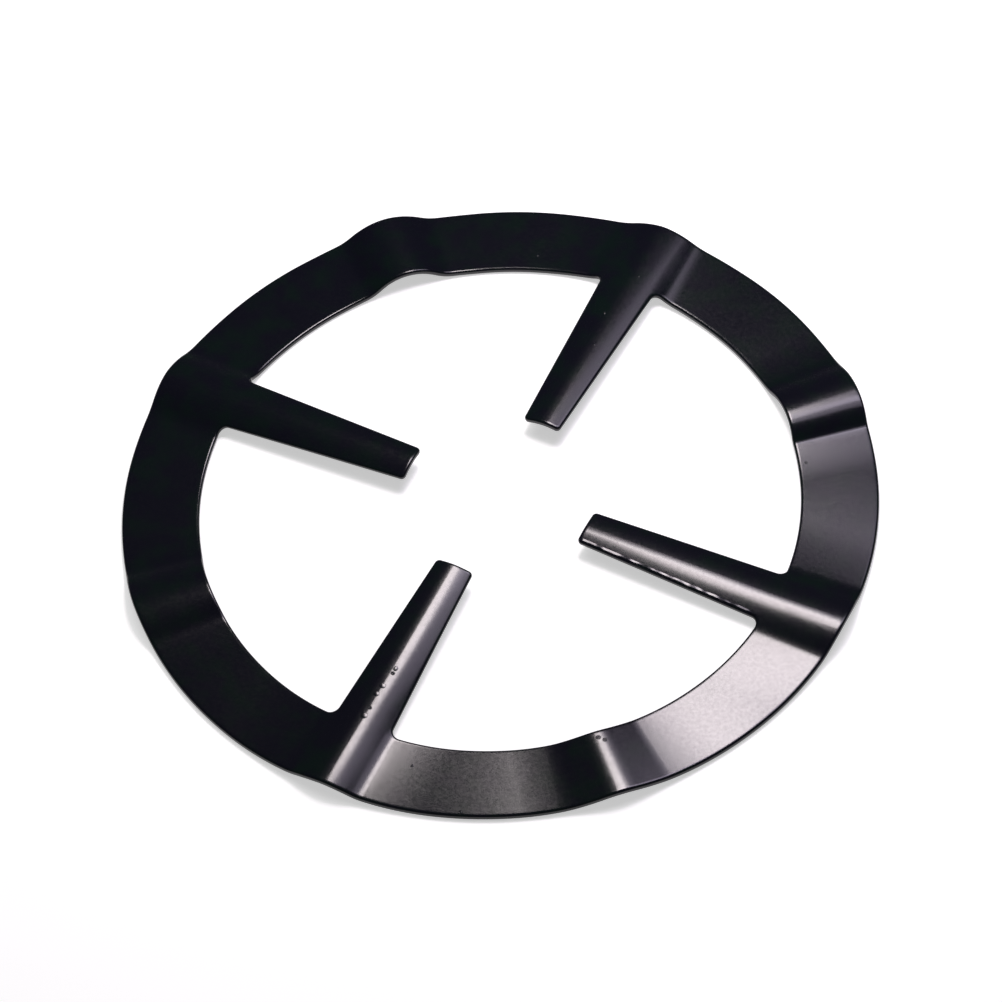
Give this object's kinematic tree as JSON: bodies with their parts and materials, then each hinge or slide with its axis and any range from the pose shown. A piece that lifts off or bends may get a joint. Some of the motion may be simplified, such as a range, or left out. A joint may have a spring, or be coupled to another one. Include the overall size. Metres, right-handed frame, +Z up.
{
  "type": "gas hob reducer ring",
  "caption": "Flat enamelled steel ring with fingers pointing inwards and rounded pressed ridges; it carries a small pot over a gas burner.",
  "frame": {"origin": "centre of the ring, on the surface that its flats rest on", "axes": "+Z up, along the ring's axis, towards the side that carries the pot; +X along one finger, from the centre outwards"},
  "size_m": [0.1404, 0.1404, 0.0043],
  "materials": {
    "black_enamel": "semi-gloss black vitreous enamel on pressed sheet steel"
  },
  "bodies": {
    "root": {"reducer_ring": "black_enamel"}
  },
  "joints": []
}
